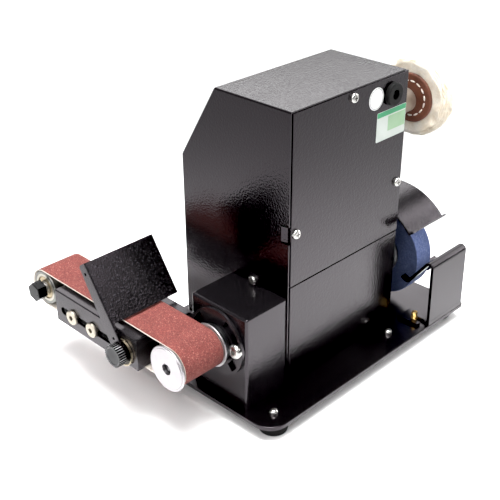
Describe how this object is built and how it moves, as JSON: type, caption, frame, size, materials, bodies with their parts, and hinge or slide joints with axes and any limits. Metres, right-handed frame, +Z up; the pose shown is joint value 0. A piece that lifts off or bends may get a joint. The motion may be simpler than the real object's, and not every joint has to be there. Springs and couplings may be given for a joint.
{
  "type": "knife sharpening machine",
  "caption": "Bench knife sharpening machine with a sanding-belt arm and knife guide, a guarded grinding wheel with a tool rest, and a cotton and leather buffing wheel.",
  "frame": {"origin": "on the floor, under the middle of the object's box", "axes": "+X towards the sanding-belt side, along the main spindle; +Y towards the back of the machine, where the power inlet is; +Z up"},
  "size_m": [0.247, 0.185, 0.191],
  "materials": {
    "black_coat": "semi-gloss powder coat with a fine texture",
    "arm_coat": "satin dark grey",
    "rubber": "matte",
    "bright_steel": "bright zinc",
    "plain_steel": "machined",
    "black_oxide": "black oxide, satin",
    "aluminium": "satin turned",
    "bearing_steel": "satin",
    "black_plastic": "satin moulded",
    "sticker": "paper",
    "abrasive_belt": "gritty",
    "abrasive_wheel": "gritty",
    "brass": "turned",
    "cotton": "soft, frayed",
    "leather": "stitched",
    "circuit_board": "plain"
  },
  "bodies": {
    "frame": {"base_plate": "black_coat", "housing_body": "black_coat", "wheel_side_panel": "black_coat", "lower_back_panel": "black_coat", "rear_cover": "black_coat", "drive_box": "black_coat", "wheel_guard": "black_coat", "rubber_feet": "rubber", "foot_screws": "bright_steel", "rear_cover_screws": "bright_steel", "drive_box_screw": "bright_steel", "arm_clamp_screws": "bright_steel", "panel_screws": "bright_steel", "guard_screws": "bright_steel", "buff_motor_screws": "bright_steel", "housing_screws": "bright_steel", "motor_screws": "bright_steel", "shaft_bearings": "plain_steel", "motor_can": "plain_steel", "motor_bracket": "plain_steel", "buff_motor": "plain_steel", "board_standoffs": "plain_steel", "dc_jack_nut": "plain_steel", "pivot_hub": "aluminium", "motor_end_bells": "aluminium", "dc_jack": "black_plastic", "switch_body": "black_plastic", "speed_pot": "black_plastic", "rest_stud_nut": "black_plastic", "plain_stickers": "sticker", "rest_stud": "brass", "control_board": "circuit_board"},
    "spindle": {"spindle_shaft": "plain_steel", "motor_armature": "plain_steel", "drive_pulley": "aluminium", "pulley_grub_screw": "plain_steel", "grinding_wheel": "abrasive_wheel", "wheel_flanges": "black_oxide", "wheel_nut": "plain_steel"},
    "arm": {"arm_channel": "arm_coat", "sanding_belt": "abrasive_belt", "guide_nut": "plain_steel"},
    "slide": {"tension_slide": "aluminium", "slot_screws": "bright_steel", "idler_bolt": "black_oxide", "idler_spacers": "plain_steel"},
    "idler": {"idler_roller": "aluminium", "idler_bearings": "bearing_steel"},
    "guide": {"knife_guide": "black_coat", "guide_washer": "plain_steel"},
    "guide_knob": {"guide_knob": "black_oxide"},
    "rest": {"tool_rest": "black_coat"},
    "buff": {"buff_shaft": "plain_steel", "buff_spindle": "aluminium", "buff_cotton": "cotton", "leather_discs": "leather"},
    "speed_knob": {"speed_knob": "black_plastic"},
    "rocker": {"switch_rocker": "black_plastic"}
  },
  "joints": [
    {"name": "spindle_spin", "type": "hinge", "parent": "frame", "child": "spindle", "pos_m": [0, 0.0434, 0.0505], "axis": [1, 0, 0], "continuous": true},
    {"name": "arm_tilt", "type": "hinge", "parent": "frame", "child": "arm", "pos_m": [0, 0.0434, 0.0505], "axis": [-1, 0, 0], "range_deg": [-15, 45]},
    {"name": "tension_slide", "type": "slide", "parent": "arm", "child": "slide", "axis": [0, -0.9999, 0.014], "range_m": [-0.012, 0]},
    {"name": "idler_spin", "type": "hinge", "parent": "slide", "child": "idler", "pos_m": [0, -0.0798, 0.05222], "axis": [1, 0, 0], "continuous": true},
    {"name": "guide_tilt", "type": "hinge", "parent": "arm", "child": "guide", "pos_m": [0, 0.00796, 0.0475], "axis": [1, 0, 0], "range_deg": [-35, 0]},
    {"name": "guide_knob_turn", "type": "hinge", "parent": "arm", "child": "guide_knob", "pos_m": [0, 0.00796, 0.0475], "axis": [1, 0, 0], "range_deg": [0, 360]},
    {"name": "rest_slide", "type": "slide", "parent": "frame", "child": "rest", "axis": [0, -1, 0], "range_m": [0, 0.006]},
    {"name": "buff_spin", "type": "hinge", "parent": "frame", "child": "buff", "pos_m": [0, 0.047, 0.1585], "axis": [1, 0, 0], "continuous": true},
    {"name": "speed_turn", "type": "hinge", "parent": "frame", "child": "speed_knob", "pos_m": [0, -0.01064, 0.16037], "axis": [0, -0.8543, 0.5198], "range_deg": [-135, 135]},
    {"name": "rocker_tip", "type": "hinge", "parent": "frame", "child": "rocker", "pos_m": [-0.036, -0.00615, 0.16583], "axis": [1, 0, 0], "range_deg": [-14, 0]}
  ],
  "couplings": [
    {"joint": "idler_spin", "follows": "spindle_spin", "ratio": 1}
  ]
}
